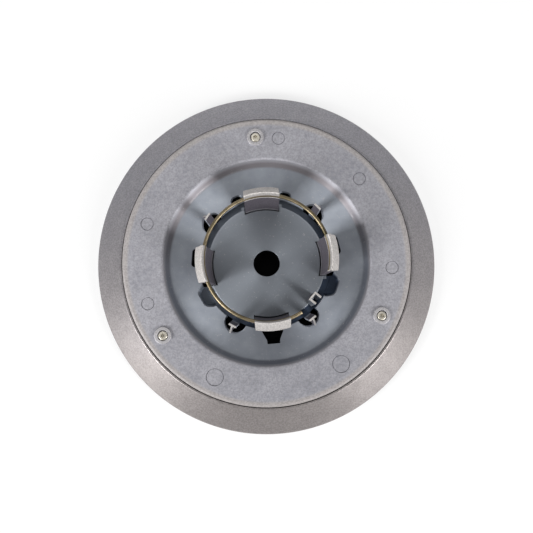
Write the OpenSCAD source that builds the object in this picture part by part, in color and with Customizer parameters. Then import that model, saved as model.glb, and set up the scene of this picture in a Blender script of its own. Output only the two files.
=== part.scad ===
// Wheel centre cap, lying face down on its front face.
// +Z points out of the back, the side that clips into the wheel.
// Angles are clockwise from +Y, seen from the back. All sizes are in mm.

/* [Front cover] */
// Widest diameter of the cap
cover_d = 168; // [162:1:180]
// Height of the widest edge above the front face
edge_h = 4.5; // [3.5:0.1:6]
// Rounding of the widest edge on its back side
edge_round = 1.2; // [0.6:0.1:2]
// Thickness of the front wall
face_t = 2.6; // [2:0.1:3.2]
// Thickness of the sloping side wall
side_t = 2.6; // [2:0.1:3.4]
// Diameter of the dished middle of the front face
dish_d = 104; // [80:1:120]
// Depth of the dished middle
dish_depth = 1.2; // [0.6:0.1:1.8]
// Diameter of the bare round seat in the front face
seat_d = 58; // [40:1:70]
// Depth of the bare round seat
seat_depth = 0.8; // [0.4:0.1:1.2]
// Number of radial ribs inside the front wall
rib_count = 12; // [6:1:18]
// Thickness of a rib
rib_t = 1.4; // [1:0.1:2]
// Height of the ribs above the inside of the front wall
rib_h = 1.6; // [1:0.1:2.2]

/* [Back plate] */
// Diameter of the back plate
plate_d = 139.2; // [134:0.2:146]
// Height of the back plate's top above the front face
body_h = 16.5; // [15.5:0.1:19]
// Thickness of the back plate's flat ring
plate_t = 2.5; // [2:0.1:3]
// Rounding of the back plate's outer edge
plate_round = 1.4; // [0.6:0.1:1.8]
// How far the back plate stands proud of the cover's edge
plate_proud = 1; // [0.6:0.1:1.6]
// Diameter of the bowl at its lip
bowl_d = 100.6; // [96:0.2:106]
// Depth of the bowl
bowl_depth = 3.3; // [2.4:0.1:3.8]
// Width of the bowl's sloping wall, seen from the back
bowl_wall_w = 3.2; // [2.4:0.1:4.5]
// Rounding of the bowl's lip
lip_round = 1.2; // [0.5:0.1:2]
// How far the bowl's floor falls towards the channel
floor_fall = 0.8; // [0:0.1:1.2]
// Diameter of the middle disc
disc_d = 56.8; // [55:0.2:58]
// How far the middle disc rises towards its hole
disc_rise = 0.5; // [0:0.1:1]
// Diameter of the centre hole
hole_d = 12.8; // [8:0.2:18]
// Width of the channel round the middle disc
channel_w = 3.5; // [3:0.1:4]
// Depth of the channel below the floor
channel_depth = 4; // [3:0.1:4.6]
// Thickness of the floor, the disc and the channel's walls
web_t = 1.8; // [1.4:0.1:2.2]

/* [Clip tabs] */
// Number of clip tabs
tab_count = 4; // [4]
// Width of a tab
tab_w = 16.2; // [14:0.1:18]
// Height of the tips above the middle disc
tab_h = 24; // [20:0.5:26]
// Diameter of the inner faces at the foot
tab_foot_d = 52.6; // [52:0.1:53.2]
// Diameter of the inner faces just below the wire's groove
tab_neck_d = 56.4; // [55.6:0.1:56.8]
// Thickness of a tab's shank
tab_t = 2.7; // [2.2:0.1:3]
// Diameter over the hooks
hook_d = 66; // [65.4:0.2:67.6]
// Height of the sloping lead-in above the widest edge of the hook
lead_h = 6; // [5:0.1:8]
// Height of the latch face under the hook
latch_h = 2.2; // [1.4:0.1:3]
// Width of the slot between a tab and the middle disc
slot_w = 0.8; // [0.5:0.1:1.2]

/* [Wire ring] */
// Thickness of the wire
wire_d = 1.7; // [1.2:0.1:1.8]
// Diameter of the ring at the middle of the wire
ring_d = 58; // [57.6:0.1:58.4]
// Opening of the split ring in degrees
ring_gap = 46; // [36:1:54]
// Angle of the middle of the opening
ring_turn = 129; // [125:1:136]
// Height of the tips above the middle of the wire
wire_down = 4.5; // [3.5:0.1:5.5]
// Clearance of the wire in its groove
wire_clear = 0.12; // [0.05:0.01:0.25]

/* [Posts] */
// Height of the four T posts above the floor
t_post_h = 13.6; // [10:0.1:15]
// Diameter through the heads of the T posts
t_post_d = 67.8; // [67:0.1:69]
// Width of a T post's head
t_head_w = 3.7; // [2.8:0.1:4.4]
// How far a T post leans outwards over its height
t_lean = 1.5; // [0.4:0.1:2]
// Wall thickness of the posts
post_t = 0.9; // [0.7:0.1:1.2]
// How far a T post's stem runs outwards from its head
t_stem_l = 4.4; // [4:0.1:5]
// Height of the U post above the floor
u_post_h = 18.6; // [15:0.5:21]
// Outside width of the U post
u_post_w = 4.7; // [4:0.1:6]
// Length of the U post's arms
u_post_l = 3.8; // [2.6:0.1:4.2]
// Diameter at the U post's closed side
u_post_d = 52.8; // [52.4:0.2:55]

/* [Windows] */
// Radius of the half-round holes that the T posts stand in
t_hole_r = 5.2; // [4:0.1:5.6]
// Diameter that the other windows reach out to
window_d = 73.6; // [72:0.2:76]
// Width of the two windows beside the top tab
small_window_w = 6.4; // [4:0.2:7]
// Width of the windows behind the side tabs
side_window_w = 9; // [6:0.2:10]
// Width of the two pockets beside the channel, at the channel
pocket_w = 12.2; // [9:0.1:13]
// Width of the pockets at their outer end
pocket_end_w = 8; // [4:0.1:9]
// Diameter that the pockets reach out to
pocket_d = 72.6; // [70:0.2:74]
// Diameter that the notch behind the lower tab reaches out to
notch_d = 78.4; // [75:0.2:82]
// Width of the notch at its outer end
notch_w = 6.2; // [4:0.2:8]

/* [Screws] */
// Number of screws
screw_count = 3; // [3]
// Diameter of the circle of screws
screw_circle_d = 121.4; // [116:0.2:125]
// Diameter of the raised boss round a screw
boss_d = 8.2; // [7.2:0.1:9.4]
// Height of the raised boss above the back plate
boss_h = 1; // [0.4:0.1:1.4]
// Thread diameter of a screw
screw_d = 2.6; // [2.2:0.1:3]
// Length of a screw under its head
screw_l = 9; // [7:0.5:9.5]
// Diameter of a screw's head
head_d = 4.7; // [4:0.1:5.2]
// Height of a screw's head
head_h = 1.5; // [1.2:0.1:1.8]
// Size of the six-lobed drive across its lobes
drive_d = 2.4; // [1.8:0.1:2.8]
// Depth of the drive
drive_depth = 0.9; // [0.5:0.1:1]
// Clearance round a screw's head and shank in the back plate
screw_clear = 0.15; // [0.1:0.01:0.3]

/* [Moulding marks] */
// Diameter of the circle of round ejector marks
mark_circle_d = 120.6; // [116:0.2:124]
// Diameter of a small ejector mark
mark_d = 6.2; // [4:0.1:8]
// Diameter of a large ejector mark
big_mark_d = 8.4; // [6:0.1:9]
// Depth of the ejector marks
mark_depth = 0.2; // [0.05:0.01:0.3]

/* [Hidden] */
$fn = 96;

// Gap between the back plate's edge and the cover
seam_gap = 0.2;
// Width and thickness of the ledge that the back plate's edge rests on
ledge_w = 2;
ledge_t = 1.8;
// Width of the flat top of the cover's side wall
land_w = 0.9;
// How far a cut or a root runs past the face that it meets
over = 1;
// Steps in each rounded corner
corner_steps = 6;
// Height of the pockets' bottoms above the channel's bottom
pocket_step = 0.25;
// Screw hole in the cover: clearance on the radius, and depth past the screw's point
pilot_clear = 0.05;
pilot_over = 0.8;

cover_r = cover_d / 2;
plate_r = plate_d / 2;
seam_r = plate_r + seam_gap;
cover_h = body_h - plate_proud;
ledge_z = body_h - plate_t;
inside_r = seam_r - ledge_w;

floor_z = body_h - bowl_depth;
floor_r = bowl_d / 2 - bowl_wall_w;
disc_r = disc_d / 2;
channel_r = disc_r + channel_w;
disc_z = floor_z - floor_fall;
channel_z = disc_z - channel_depth;
under_z = channel_z - web_t;

tip_z = disc_z + tab_h;
wire_z = tip_z - wire_down;
ring_r = ring_d / 2;
groove_r = wire_d / 2 + wire_clear;
foot_r = tab_foot_d / 2;
neck_r = tab_neck_d / 2;
hook_r = hook_d / 2;
hook_z = tip_z - lead_h;
tip_w = 1.3;
foot_out_r = foot_r + tab_t;
window_r = window_d / 2;
slot_in_r = foot_r - slot_w;

screw_circle_r = screw_circle_d / 2;
boss_z = body_h + boss_h;
head_down = 0.2;
head_z = boss_z - head_down - head_h;
screw_end_z = head_z - screw_l;
cover_boss_d = 6.6;

// Angles of the features that the tabs share their axes with
t_post_angles = [48.5, 147, 213, 311.5];
small_window_angles = [20, 340];
side_window_angles = [80.5, 279.5];
pocket_angles = [113.5, 246.5];
notch_angle = 180;
u_post_angle = 134.2;
mark_angles = [10.5, 53, 97.5, 256, 293];
big_mark_angles = [149, 209.5];

// A unit vector
function unit(v) = v / norm(v);
// An angle brought between -180 and 180
function wrap(a) = a - 360 * floor((a + 180) / 360);
// The points that round corner b, which lies between a and c; b[2] is its radius
function corner(a, b, c) =
    let (p = [b[0], b[1]], r = b[2])
    r == 0 ? [p] :
    let (u = unit([a[0], a[1]] - p))
    let (v = unit([c[0], c[1]] - p))
    let (half = acos(u * v) / 2)
    let (m = p + unit(u + v) * r / sin(half))
    let (s = p + u * r / tan(half) - m)
    let (e = p + v * r / tan(half) - m)
    let (a0 = atan2(s[1], s[0]))
    let (turn = wrap(atan2(e[1], e[0]) - a0))
    [for (i = [0 : corner_steps]) m + r * [cos(a0 + turn * i / corner_steps), sin(a0 + turn * i / corner_steps)]];
// An outline whose corners are [x, y, radius]
function rounded(c) =
    let (n = len(c))
    [for (i = [0 : n - 1]) each corner(c[(i + n - 1) % n], c[i], c[(i + 1) % n])];

// Height of the dished front face at radius r, without the round seat
function dish(r) =
    r >= dish_d / 2 ? 0 :
    r <= seat_d / 2 ? dish_depth :
    dish_depth * (1 + cos(180 * (r - seat_d / 2) / (dish_d / 2 - seat_d / 2))) / 2;
// Angle at which the side wall's slope leaves the rounded widest edge
function edge_angle() =
    let (t = [seam_r + land_w - (cover_r - edge_round), cover_h - edge_h])
    atan2(t[1], t[0]) - acos(edge_round / norm(t));

// Inside radius of the cover's sloping side wall at height z
function side_in_r(z) =
    cover_r - edge_round - (side_t - edge_round) / cos(edge_angle()) - (z - edge_h) * tan(edge_angle());

// Places its children at a clockwise angle and a radius
module at(angle, r = 0, z = 0) {
    rotate([0, 0, -angle]) translate([0, r, z]) children();
}

// A plate of thickness t that stands in the plane of the axis; its outline is drawn as [radius, height]
module upright(t) {
    rotate([0, 0, 90]) translate([0, t / 2, 0]) rotate([90, 0, 0]) linear_extrude(t) children();
}

// A bar centred on the radius at an angle, from radius r0 to r1 and from z0 to z1
module radial_bar(angle, w, r0, r1, z0, z1) {
    at(angle) translate([-w / 2, r0, z0]) cube([w, r1 - r0, z1 - z0]);
}

// Front cover

module cover_profile() {
    dish_steps = 10;
    seat_bevel = seat_depth * 0.75;
    dish_in_r = seat_d / 2 + seat_bevel;
    face = [for (i = [0 : dish_steps])
        let (r = dish_in_r + (dish_d / 2 - dish_in_r) * i / dish_steps) [r, dish(r)]];
    front_edge = [for (a = [-90 : 10 : 0]) [cover_r - edge_h + edge_h * cos(a), edge_h + edge_h * sin(a)]];
    back_edge = [for (i = [1 : corner_steps])
        let (a = edge_angle() * i / corner_steps)
        [cover_r - edge_round + edge_round * cos(a), edge_h + edge_round * sin(a)]];
    inside = [for (i = [0 : dish_steps])
        let (r = dish_d / 2 - (dish_d / 2 - seat_d / 2) * i / dish_steps) [r, dish(r) + face_t]];
    polygon(concat(
        [[0, dish_depth + seat_depth], [seat_d / 2, dish_depth + seat_depth]],
        face,
        front_edge,
        back_edge,
        [[seam_r + land_w, cover_h], [seam_r, cover_h], [seam_r, ledge_z], [inside_r, ledge_z]],
        [[inside_r, ledge_z - ledge_t], [side_in_r(ledge_z - ledge_t), ledge_z - ledge_t]],
        [[side_in_r(face_t + 1.6), face_t + 1.6], [side_in_r(face_t + 1.6) - 1.6, face_t]],
        inside,
        [[0, dish_depth + face_t]]
    ));
}

module cover_ribs() {
    rib_in_r = seat_d / 2 + 6;
    for (i = [0 : rib_count - 1])
        radial_bar((i + 0.5) * 360 / rib_count, rib_t, rib_in_r, inside_r, face_t / 2, face_t + rib_h);
    difference() {
        translate([0, 0, face_t / 2]) cylinder(r = rib_in_r + rib_t, h = face_t / 2 + rib_h);
        cylinder(r = rib_in_r, h = face_t * 2 + rib_h);
    }
}

module front_cover() {
    color([0.66, 0.64, 0.63])
    difference() {
        union() {
            rotate_extrude() cover_profile();
            cover_ribs();
            for (i = [0 : screw_count - 1])
                at(i * 360 / screw_count, screw_circle_r, face_t / 2) cylinder(d = cover_boss_d, h = ledge_z - face_t / 2);
        }
        for (i = [0 : screw_count - 1])
            at(i * 360 / screw_count, screw_circle_r, screw_end_z - pilot_over)
                cylinder(r = screw_d / 2 + pilot_clear, h = body_h);
    }
}

// Back plate

module plate_profile() {
    slope = bowl_wall_w / bowl_depth;
    wall_out = web_t * 0.7;
    polygon(rounded([
        [plate_r, ledge_z, 0.3],
        [plate_r, body_h, plate_round],
        [bowl_d / 2, body_h, lip_round],
        [floor_r, floor_z, 1.6],
        [channel_r, disc_z, 0.4],
        [channel_r, channel_z, 0.4],
        [disc_r, channel_z, 0.4],
        [disc_r, disc_z, 0.4],
        [hole_d / 2, disc_z + disc_rise, 0.25],
        [hole_d / 2, disc_z + disc_rise - web_t, 0],
        [disc_r - web_t, disc_z - web_t, 0.4],
        [disc_r - web_t, under_z, 0.4],
        [channel_r + web_t, under_z, 0.4],
        [channel_r + web_t, disc_z - web_t, 0.4],
        [floor_r + wall_out, floor_z - web_t, 1],
        [floor_r + wall_out + slope * (ledge_z - floor_z + web_t), ledge_z, 1]
    ]));
}

// The solid that a tab's foot and its slot stand in, under the middle disc
module tab_pad(angle) {
    radial_bar(angle, tab_w + 2 * web_t, slot_in_r - web_t, disc_r, under_z, disc_z - web_t / 2);
}

// The room round a tab: its slot, and the window that lets the hook be moulded
module tab_room(angle) {
    w = tab_w + 0.8;
    intersection() {
        radial_bar(angle, w, 0, hook_r + over, channel_z, tip_z);
        difference() {
            cylinder(r = disc_r + over, h = tip_z);
            cylinder(r = slot_in_r, h = tip_z);
        }
    }
    intersection() {
        radial_bar(angle, w, 0, hook_r + over, 0, tip_z);
        difference() {
            cylinder(r = hook_r, h = tip_z);
            cylinder(r = foot_out_r + 0.6, h = tip_z);
        }
    }
}

module tab_profile() {
    groove = [for (a = [-112 : 16 : 112]) [ring_r + groove_r * cos(a), wire_z + groove_r * sin(a)]];
    groove_in = groove_r * cos(112);
    neck_z = wire_z - groove_r - 0.25;
    latch_in_r = foot_out_r + (neck_r - foot_r) * (hook_z - latch_h - channel_z) / (neck_z - channel_z);
    polygon(concat(
        [[foot_r, channel_z - web_t / 2], [foot_r, channel_z]],
        [[neck_r, neck_z]],
        groove,
        [[ring_r + groove_in, tip_z - 1.4]],
        [[ring_r + groove_in + 0.4, tip_z - 0.3], [ring_r + groove_in + 0.8, tip_z]],
        [[ring_r + groove_in + tip_w, tip_z - 0.3]],
        [[hook_r - 0.3, hook_z + 0.5], [hook_r, hook_z], [hook_r - 0.1, hook_z - 0.4]],
        [[latch_in_r, hook_z - latch_h], [foot_out_r, channel_z], [foot_out_r, channel_z - web_t / 2]]
    ));
}

module clip_tab(angle) {
    sweep = 50;
    intersection() {
        at(angle) rotate([0, 0, 90 - sweep / 2]) rotate_extrude(angle = sweep) tab_profile();
        radial_bar(angle, tab_w, 0, hook_r + over, 0, tip_z + over);
    }
}

// A T post: a flat head that leans outwards from the channel's edge, and a gusset that ties it to the floor
module t_post(angle) {
    head_r = t_post_d / 2;
    foot = head_r - t_lean;
    root_r = channel_r - 0.6;
    top_z = disc_z + t_post_h;
    stem_r = head_r + t_stem_l;
    at(angle) {
        upright(t_head_w) polygon([
            [root_r, channel_z - web_t / 2],
            [root_r + post_t + 0.4, channel_z - web_t / 2],
            [foot + post_t, disc_z],
            [head_r + post_t, top_z],
            [head_r, top_z],
            [foot, disc_z]
        ]);
        upright(post_t) polygon([
            [root_r + post_t / 2, channel_z],
            [stem_r, disc_z - web_t / 2],
            [stem_r, disc_z + 1],
            [head_r + post_t, top_z],
            [head_r + post_t / 2, top_z]
        ]);
    }
}

// The U post in the opening of the ring, open outwards, which keeps the ring from turning
module u_post() {
    in_r = u_post_d / 2;
    z0 = channel_z - web_t / 2;
    z1 = disc_z + u_post_h;
    radial_bar(u_post_angle, u_post_w, in_r, in_r + post_t, z0, z1);
    for (side = [-1, 1])
        at(u_post_angle) translate([side * (u_post_w - post_t) / 2 - post_t / 2, in_r, z0])
            cube([post_t, u_post_l, z1 - z0]);
}

// Keeps only what lies beyond the channel, so that the channel's bottom stays whole
module beyond_channel() {
    difference() {
        children();
        cylinder(r = channel_r - 0.2, h = tip_z);
    }
}

// The half-round hole in the floor round a T post
module t_hole(angle) {
    beyond_channel() at(angle, channel_r) cylinder(r = t_hole_r, h = tip_z);
}

// A window with rounded outer corners
module window(angle, w) {
    out = sqrt(window_r ^ 2 - w ^ 2 / 4);
    beyond_channel() at(angle) linear_extrude(tip_z)
        polygon(rounded([[-w / 2, out, 2.2], [w / 2, out, 2.2], [w / 2, disc_r, 0], [-w / 2, disc_r, 0]]));
}

// The notch behind the lower tab: narrow outside, flared towards the tab
module notch() {
    out = notch_d / 2;
    flare_r = hook_r + 0.6;
    w = notch_w / 2;
    beyond_channel() at(notch_angle) linear_extrude(tip_z)
        polygon(rounded([
            [-w, out, 0.3], [w, out, 0.3],
            [w + 0.15, out - 2, 2], [w + 1.9, flare_r, 2], [w + 3, disc_r + over, 0],
            [-w - 3, disc_r + over, 0], [-w - 1.9, flare_r, 2], [-w - 0.15, out - 2, 2]
        ]));
}

// A pocket beside the channel, from radius r0 outwards; grown by g for the walls round it
module pocket(angle, g, r0, z0, z1) {
    out = pocket_d / 2 + g;
    end_w = pocket_end_w / 2 + g * 0.7;
    w = pocket_w / 2 + g;
    wide_r = channel_r + 0.6;
    at(angle) translate([0, 0, z0]) linear_extrude(z1 - z0)
        polygon(rounded([[-w, r0, 0], [-w, wide_r, 0], [-end_w, out, 3], [end_w, out, 3], [w, wide_r, 0], [w, r0, 0]]));
}

module ejector_mark(angle, d) {
    at(angle, mark_circle_d / 2, body_h - mark_depth) cylinder(d = d, h = over);
}

module plate_cuts() {
    for (i = [0 : tab_count - 1]) tab_room(i * 360 / tab_count);
    for (a = t_post_angles) t_hole(a);
    for (a = small_window_angles) window(a, small_window_w);
    for (a = side_window_angles) window(a, side_window_w);
    for (a = pocket_angles) pocket(a, 0, channel_r - 1.2, channel_z + pocket_step, tip_z);
    notch();
    for (a = mark_angles) ejector_mark(a, mark_d);
    for (a = big_mark_angles) ejector_mark(a, big_mark_d);
    for (i = [0 : screw_count - 1]) {
        at(i * 360 / screw_count, screw_circle_r, head_z) cylinder(d = head_d + 2 * screw_clear, h = over + boss_z);
        at(i * 360 / screw_count, screw_circle_r, 0) cylinder(d = screw_d + 2 * screw_clear, h = body_h);
    }
}

module back_plate() {
    color([0.62, 0.63, 0.66])
    union() {
        difference() {
            union() {
                rotate_extrude() plate_profile();
                for (i = [0 : tab_count - 1]) tab_pad(i * 360 / tab_count);
                for (a = pocket_angles) pocket(a, web_t, channel_r + 0.4, under_z, disc_z - web_t / 2);
                for (i = [0 : screw_count - 1])
                    at(i * 360 / screw_count, screw_circle_r, ledge_z) cylinder(d = boss_d, h = plate_t + boss_h);
            }
            plate_cuts();
        }
        for (i = [0 : tab_count - 1]) clip_tab(i * 360 / tab_count);
        for (a = t_post_angles) t_post(a);
        u_post();
    }
}

// Split spring ring of round wire, in the grooves behind the tabs' tips
module wire_ring() {
    color([0.72, 0.6, 0.36])
    rotate([0, 0, 90 - ring_turn + ring_gap / 2]) translate([0, 0, wire_z])
        rotate_extrude(angle = 360 - ring_gap) translate([ring_r, 0]) circle(d = wire_d, $fn = 32);
}

// Thread-forming screw with a low round head and a six-lobed drive
module screw(i) {
    lobe_r = drive_d * 0.14;
    point_h = screw_d * 0.7;
    color([0.8, 0.79, 0.76])
    at(i * 360 / screw_count, screw_circle_r, 0)
    difference() {
        rotate_extrude() polygon(rounded([
            [0, screw_end_z, 0],
            [screw_d * 0.18, screw_end_z, 0],
            [screw_d / 2, screw_end_z + point_h, 0],
            [screw_d / 2, head_z, 0],
            [head_d / 2, head_z, 0],
            [head_d / 2, head_z + head_h, head_h * 0.35],
            [0, head_z + head_h, 0]
        ]));
        translate([0, 0, head_z + head_h - drive_depth]) {
            cylinder(r = drive_d / 2 - lobe_r, h = over + drive_depth);
            for (k = [0 : 5])
                at(k * 60, drive_d / 2 - lobe_r, 0) cylinder(r = lobe_r, h = over + drive_depth, $fn = 24);
        }
    }
}

module screw_1() { screw(0); }
module screw_2() { screw(1); }
module screw_3() { screw(2); }

front_cover();
back_plate();
wire_ring();
screw_1();
screw_2();
screw_3();
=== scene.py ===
"""Wheel centre cap, lying face down: the dressed pieces, the stage, the lamps and the camera."""

import math
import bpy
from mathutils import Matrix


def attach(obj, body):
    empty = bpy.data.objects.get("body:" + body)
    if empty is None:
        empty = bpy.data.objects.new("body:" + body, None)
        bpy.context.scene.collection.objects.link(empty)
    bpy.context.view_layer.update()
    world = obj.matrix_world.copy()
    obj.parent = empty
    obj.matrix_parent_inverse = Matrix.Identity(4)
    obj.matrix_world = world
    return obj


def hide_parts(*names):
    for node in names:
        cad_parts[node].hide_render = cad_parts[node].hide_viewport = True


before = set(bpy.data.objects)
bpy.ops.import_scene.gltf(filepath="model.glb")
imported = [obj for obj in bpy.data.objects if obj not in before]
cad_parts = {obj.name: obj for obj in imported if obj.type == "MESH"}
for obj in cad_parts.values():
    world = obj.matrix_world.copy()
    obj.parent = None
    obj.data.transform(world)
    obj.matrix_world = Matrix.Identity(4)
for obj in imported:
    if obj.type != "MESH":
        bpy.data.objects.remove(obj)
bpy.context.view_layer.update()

from types import SimpleNamespace

import bmesh
import bpy
from mathutils import Matrix, Vector

bl_info = {
    "name": "Wheel Center Cap",
    "version": (1, 0, 0),
    "blender": (4, 5, 0),
    "location": "View3D > Sidebar > Wheel Cap",
    "description": "Models a wheel center cap piece by piece, with its stage",
    "category": "Add Mesh",
}

# Metres in a millimetre: shapes are worked out in millimetres and scaled once at the end.
MM = 0.001
# The photographed cap is turned this far anticlockwise on its table.
PHOTO_TURN = math.radians(5.2)
# The plate has a little play in the cover, and lies this many millimetres towards its top tab.
PLAY = 0.17
# Two cutters never end on the same face: they run past it by this much.
OVER = 1.0
# Walls that would lie in one plane are kept this far apart, so that they join cleanly.
NUDGE = 0.01

# Clockwise angles from +Y, in degrees, of what stands round the axis.
TAB_ANGLES = (0, 90, 180, 270)
T_POST_ANGLES = (48.5, 147, 213, 311.5)
SMALL_WINDOW_ANGLES = (20, 340)
SIDE_WINDOW_ANGLES = (80.5, 279.5)
POCKET_ANGLES = (113.5, 246.5)
NOTCH_ANGLE = 180
U_POST_ANGLE = 134.2
MARK_ANGLES = (10.5, 53, 97.5, 256, 293)
BIG_MARK_ANGLES = (149, 209.5)
SCREW_ANGLES = (0, 120, 240)
RIB_ANGLES = range(15, 360, 30)
# Where the wire ring is open, and how wide, in degrees.
WIRE_GAP_ANGLE = 129
WIRE_GAP = 46

# The camera as fitted to the photo: its place and the point it looks at, in millimetres along the photo's
# right and up directions and away from the table.
CAMERA_PLACE = (-2.10, -32.53, 304.5)
CAMERA_TARGET = (-0.06, -25.50, 4.5)
# In pixels of the photo: its width, the camera's focal length, and how far the view is shifted up.
PHOTO_PIXELS = 533
FOCAL_PIXELS = 601.55
SHIFT_PIXELS = 50


def linear(hex_colour):
    """An sRGB hex colour such as "A0A2A8", as the linear red, green, blue and alpha that shaders take."""
    channels = [int(hex_colour[i:i + 2], 16) / 255 for i in (0, 2, 4)]
    return tuple(c / 12.92 if c <= 0.04045 else ((c + 0.055) / 1.055) ** 2.4 for c in channels) + (1.0,)


# Sizes and colours that a user may change


def length(name, description, millimetres):
    """A length property, whose default is given in millimetres."""
    return bpy.props.FloatProperty(
        name=name, description=description, default=millimetres * MM, min=0,
        subtype="DISTANCE", unit="LENGTH")


def colour(name, description, hex_colour):
    """A colour property, whose default is given as sRGB hex."""
    return bpy.props.FloatVectorProperty(
        name=name, description=description, default=linear(hex_colour), size=4, min=0, max=1, subtype="COLOR")


def share(name, description, value, most=1.0):
    """A plain number between nought and a limit."""
    return bpy.props.FloatProperty(name=name, description=description, default=value, min=0, max=most)


class CoverSizes(bpy.types.PropertyGroup):
    diameter: length("Diameter", "Widest diameter of the cap", 168)
    edge_height: length("Edge height", "Height of the widest edge above the front face", 4.5)
    edge_round: length("Edge rounding", "Rounding of the widest edge on its back side", 1.2)
    height: length("Height", "Height of the cover's back edge above the front face", 15.5)
    face: length("Face", "Thickness of the front wall", 2.6)
    side: length("Side", "Thickness of the sloping side wall", 2.6)
    dish_diameter: length("Dish", "Diameter of the dished middle of the front", 104)
    dish_depth: length("Dish depth", "Depth of the dished middle", 1.2)
    seat_diameter: length("Seat", "Diameter of the bare round seat in the front", 58)
    seat_depth: length("Seat depth", "Depth of the bare round seat", 0.8)
    seam: length("Seam", "Gap between the cover and the back plate", 0.2)
    land: length("Land", "Width of the flat top of the side wall", 0.9)
    ledge: length("Ledge", "Width of the ledge that the plate rests on", 2)
    rib: length("Rib", "Thickness of a rib inside the front wall", 1.4)
    rib_height: length("Rib height", "Height of the ribs above the wall", 1.6)
    boss_diameter: length("Boss", "Diameter of a screw boss inside", 6.6)


class PlateSizes(bpy.types.PropertyGroup):
    diameter: length("Diameter", "Diameter of the back plate", 139.2)
    height: length("Height", "Height of the plate's top above the front face", 16.5)
    thickness: length("Thickness", "Thickness of the plate's flat ring", 2.5)
    edge_round: length("Edge rounding", "Rounding of the plate's outer edge", 1.5)
    bowl_diameter: length("Bowl", "Diameter of the bowl at its lip", 100.6)
    bowl_depth: length("Bowl depth", "Depth of the bowl", 3.3)
    bowl_wall: length("Bowl wall", "Width of the bowl's sloping wall", 3.2)
    lip_round: length("Lip rounding", "Rounding of the bowl's lip", 1.9)
    floor_fall: length("Floor fall", "How far the floor falls towards the channel", 0.8)
    disc_diameter: length("Disc", "Diameter of the middle disc", 56.8)
    disc_rise: length("Disc rise", "How far the disc rises towards its hole", 0.5)
    hole_diameter: length("Hole", "Diameter of the centre hole", 12.8)
    channel_width: length("Channel", "Width of the channel round the disc", 3.5)
    channel_depth: length("Channel depth", "Depth of the channel", 4)
    web: length("Web", "Thickness of the floor and the disc", 1.8)
    window_diameter: length("Windows", "Diameter that the windows reach out to", 73.6)
    t_hole_radius: length("T holes", "Radius of the half-round holes at the T posts", 5.2)
    pocket: length("Pockets", "Width of the pockets at the channel", 12.2)
    pocket_end: length("Pocket ends", "Width of the pockets at their outer end", 8)
    pocket_diameter: length("Pocket reach", "Diameter that the pockets reach out to", 72.6)
    small_window: length("Small windows", "Width of the windows beside the top tab", 6.4)
    side_window: length("Side windows", "Width of the windows behind the side tabs", 9)
    notch_diameter: length("Notch", "Diameter that the lower notch reaches out to", 78.4)
    notch: length("Notch width", "Width of the lower notch at its outer end", 6.2)
    boss_diameter: length("Boss", "Diameter of the raised boss round a screw", 8.2)
    boss_height: length("Boss height", "Height of a raised boss", 1.0)
    mark_circle: length("Mark circle", "Diameter of the circle of ejector marks", 120.6)
    mark: length("Mark", "Diameter of a small ejector mark", 6.2)
    big_mark: length("Big mark", "Diameter of a large ejector mark", 8.4)
    mark_depth: length("Mark depth", "Depth of the ejector marks", 0.2)
    mark_rim: length("Mark rim", "Depth of the fine groove round an ejector mark", 0.5)


class ClipSizes(bpy.types.PropertyGroup):
    tab_width: length("Tab width", "Width of a clip tab", 16.2)
    tab_height: length("Tab height", "Height of the tips above the disc", 24)
    tab_thickness: length("Tab thickness", "Thickness of a tab's shank", 2.7)
    foot_diameter: length("Foot", "Diameter of the inner faces at the foot", 52.6)
    neck_diameter: length("Neck", "Diameter of the inner faces below the groove", 56.4)
    hook_diameter: length("Hooks", "Diameter over the hooks", 66)
    lead: length("Lead-in", "Height of the lead-in above the hook's edge", 6)
    latch: length("Latch", "Height of the latch face under the hook", 2.2)
    slot: length("Slot", "Width of the slot between a tab and the disc", 0.4)
    post: length("Post wall", "Wall thickness of the posts", 0.9)
    t_post_height: length("T post height", "Height of the T posts above the floor", 13.6)
    t_post_diameter: length("T posts", "Diameter through the heads of the T posts", 67.8)
    t_head: length("T head", "Width of a T post's head", 3.7)
    t_lean: length("T lean", "How far a T post leans outwards over its height", 1.5)
    t_stem: length("T stem", "How far a T post's stem runs outwards", 4.4)
    u_post_height: length("U post height", "Height of the U post above the floor", 18.6)
    u_post_width: length("U post width", "Outside width of the U post", 4.7)
    u_post_length: length("U post length", "Length of the U post's arms", 3.8)
    u_post_diameter: length("U post", "Diameter at the U post's closed side", 52.8)
    wire: length("Wire", "Thickness of the wire", 1.7)
    ring_diameter: length("Ring", "Diameter of the ring at the middle of the wire", 58)
    wire_down: length("Wire depth", "Height of the tips above the wire", 4.5)
    wire_clear: length("Wire clearance", "Clearance of the wire in its groove", 0.12)


class ScrewSizes(bpy.types.PropertyGroup):
    circle: length("Circle", "Diameter of the circle of screws", 121.4)
    thread: length("Thread", "Thread diameter of a screw", 2.6)
    shank: length("Shank", "Length of a screw under its head", 9)
    head: length("Head", "Diameter of a screw's head", 4.4)
    head_height: length("Head height", "Height of a screw's head", 1.5)
    head_down: length("Head depth", "Depth of the head's top below the boss", 0.2)
    drive: length("Drive", "Size of the six-lobed drive across its lobes", 2.4)
    drive_depth: length("Drive depth", "Depth of the drive", 1.3)
    clearance: length("Clearance", "Clearance round a screw in the plate", 0.3)


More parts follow.
